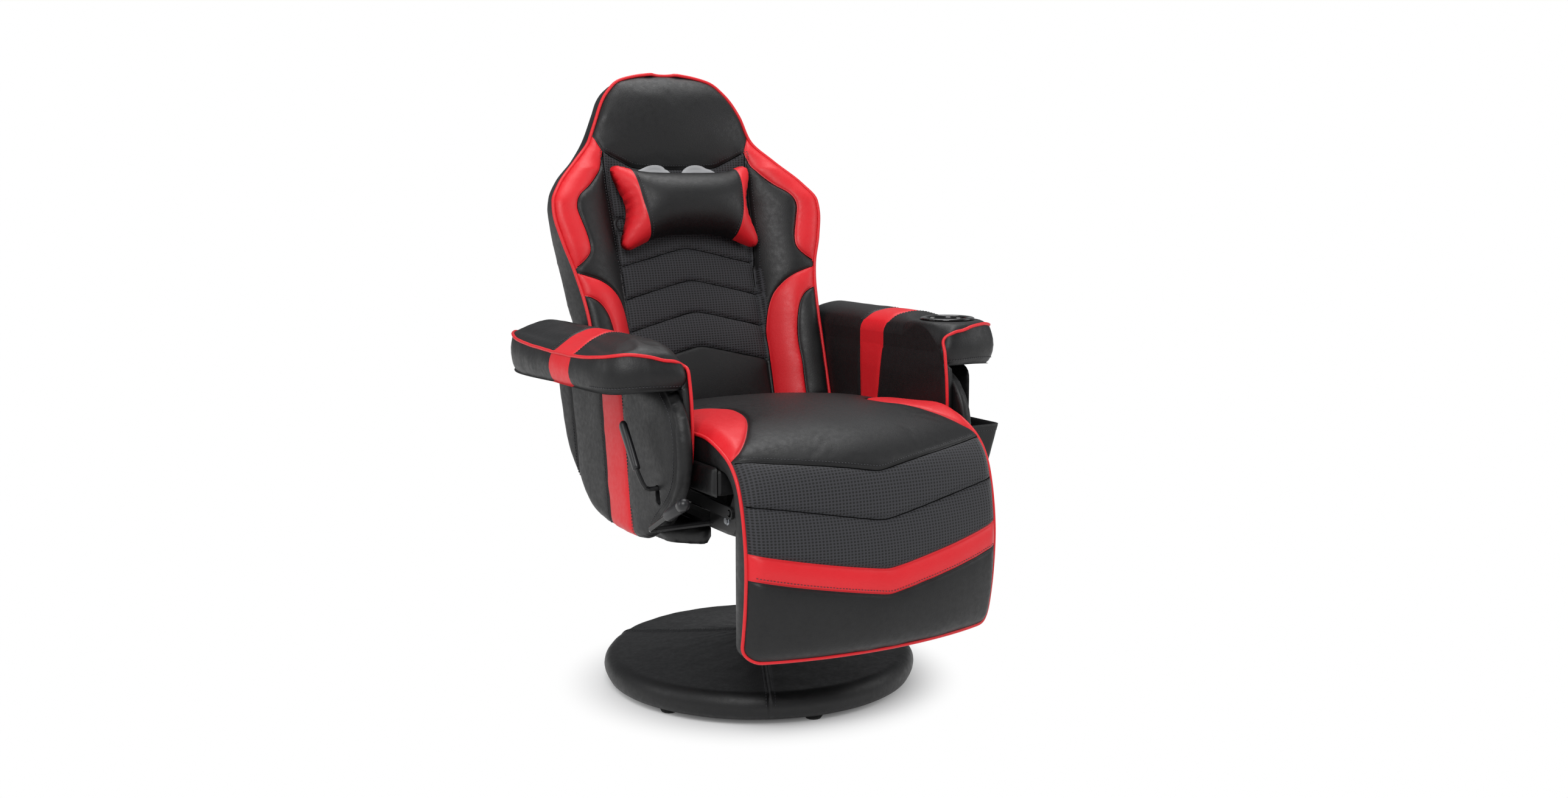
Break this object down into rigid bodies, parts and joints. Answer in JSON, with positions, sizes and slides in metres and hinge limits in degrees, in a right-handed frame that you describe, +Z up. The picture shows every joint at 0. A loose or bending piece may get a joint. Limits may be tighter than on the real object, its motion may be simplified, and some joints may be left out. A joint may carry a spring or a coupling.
{
  "type": "gaming recliner chair",
  "caption": "Upholstered gaming recliner on a round swivel base, with linked footrest, padded arms, head pillow, cup holder, side pouch and massage handset.",
  "frame": {"origin": "on the floor, on the swivel axis at the middle of the round base", "axes": "+Z up, the chair faces -Y, +X is the sitter's left, where the cup holder and pouch are"},
  "size_m": [0.7832, 0.8646, 1.1124],
  "materials": {
    "black_leather": "satin grained",
    "red_leather": "satin grained",
    "elastic": "woven",
    "black_steel": "powder coat",
    "chrome": "polished",
    "black_plastic": "satin",
    "grey_plastic": "satin",
    "plywood": "raw",
    "rubber": "matt"
  },
  "bodies": {
    "base": {"base_plate": "black_steel", "base_cover": "black_leather", "base_foot_1": "rubber", "base_foot_2": "rubber", "base_foot_3": "rubber", "base_foot_4": "rubber", "base_foot_5": "rubber", "base_foot_6": "rubber", "column_tube": "black_steel"},
    "lift": {"lift_piston": "chrome"},
    "seat": {"seat_plate": "black_steel", "chassis_frame": "black_steel", "seat_box": "black_leather", "seat_cushion": "black_leather", "arm_wall_left": "black_leather", "arm_wall_right": "black_leather", "arm_pad_left": "black_leather", "arm_pad_right": "black_leather", "arm_side_panel_left": "black_leather", "arm_side_panel_right": "black_leather", "cup_holder": "black_plastic", "side_pouch": "black_leather", "control_box": "black_plastic", "recline_pin_left": "chrome", "recline_pin_right": "chrome", "footrest_hinge_rod": "chrome", "handset_case_front": "black_plastic", "handset_case_back": "black_plastic", "handset_panel": "black_plastic", "handset_strain_relief": "rubber", "handset_cord": "rubber", "handset_cord_coil": "rubber"},
    "recline_lever": {"recline_lever_rod": "black_steel", "recline_lever_grip": "black_plastic"},
    "height_lever": {"height_lever_arm": "black_steel", "height_lever_grip": "black_plastic"},
    "back": {"back_frame": "black_steel", "back_cushion": "black_leather", "back_cover": "black_leather", "harness_trim_left": "grey_plastic", "harness_trim_right": "grey_plastic", "strap_grommet_left": "black_plastic", "strap_grommet_right": "black_plastic", "head_pillow": "red_leather", "pillow_strap": "elastic", "massage_motor_upper": "black_plastic", "massage_motor_lower": "black_plastic", "recline_bracket_left": "black_steel", "recline_bracket_right": "black_steel"},
    "footrest": {"footrest_board": "plywood", "footrest_cushion": "black_leather", "footrest_bracket_left": "black_steel", "footrest_bracket_right": "black_steel"},
    "link_left": {"drive_link_left": "black_steel"},
    "link_right": {"drive_link_right": "black_steel"},
    "power_button": {"power_button": "black_plastic"},
    "timer_button": {"timer_button": "black_plastic"},
    "massage_zone_button": {"massage_zone_button": "black_plastic"},
    "intensity_button": {"intensity_button": "black_plastic"},
    "level_rocker": {"level_rocker": "black_plastic"}
  },
  "joints": [
    {"name": "height_lift", "type": "slide", "parent": "base", "child": "lift", "axis": [0, 0, 1], "range_m": [0, 0.08]},
    {"name": "swivel", "type": "hinge", "parent": "lift", "child": "seat", "pos_m": [0, 0, 0.3], "axis": [0, 0, 1], "continuous": true},
    {"name": "recline", "type": "hinge", "parent": "seat", "child": "back", "pos_m": [0, 0.15, 0.455], "axis": [-1, 0, 0], "range_deg": [0, 50]},
    {"name": "footrest_raise", "type": "hinge", "parent": "seat", "child": "footrest", "pos_m": [0, -0.318, 0.42], "axis": [-1, 0, 0], "range_deg": [0, 75]},
    {"name": "link_left_swing", "type": "hinge", "parent": "back", "child": "link_left", "pos_m": [0.21, 0.17745, 0.39586], "axis": [-1, 0, 0], "range_deg": [-50, 0]},
    {"name": "link_right_swing", "type": "hinge", "parent": "back", "child": "link_right", "pos_m": [-0.21, 0.17745, 0.39586], "axis": [-1, 0, 0], "range_deg": [-50, 0]},
    {"name": "recline_lever_press", "type": "hinge", "parent": "seat", "child": "recline_lever", "pos_m": [-0.25, -0.05, 0.414], "axis": [1, 0, 0], "range_deg": [0, 8.6], "stiffness_Nm_per_rad": 4, "springref_deg": -8.59},
    {"name": "height_lever_pull", "type": "hinge", "parent": "seat", "child": "height_lever", "pos_m": [-0.2, -0.19, 0.346], "axis": [-1, 0, 0], "range_deg": [0, 14], "stiffness_Nm_per_rad": 3, "springref_deg": -5.73},
    {"name": "power_press", "type": "slide", "parent": "seat", "child": "power_button", "axis": [-1, 0, 0], "range_m": [0, 0.0008], "stiffness_N_per_m": 400, "springref_m": -0.0005},
    {"name": "timer_press", "type": "slide", "parent": "seat", "child": "timer_button", "axis": [-1, 0, 0], "range_m": [0, 0.0008], "stiffness_N_per_m": 400, "springref_m": -0.0005},
    {"name": "massage_zone_press", "type": "slide", "parent": "seat", "child": "massage_zone_button", "axis": [-1, 0, 0], "range_m": [0, 0.0008], "stiffness_N_per_m": 400, "springref_m": -0.0005},
    {"name": "intensity_press", "type": "slide", "parent": "seat", "child": "intensity_button", "axis": [-1, 0, 0], "range_m": [0, 0.0008], "stiffness_N_per_m": 400, "springref_m": -0.0005},
    {"name": "level_rock", "type": "hinge", "parent": "seat", "child": "level_rocker", "pos_m": [0.33855, -0.0335, 0.4535], "axis": [0, 0.8829, 0.4695], "range_deg": [-3.5, 3.5], "stiffness_Nm_per_rad": 0.05}
  ],
  "couplings": [
    {"joint": "footrest_raise", "follows": "recline", "ratio": 1.5},
    {"joint": "link_left_swing", "follows": "recline", "ratio": -1},
    {"joint": "link_right_swing", "follows": "recline", "ratio": -1}
  ]
}
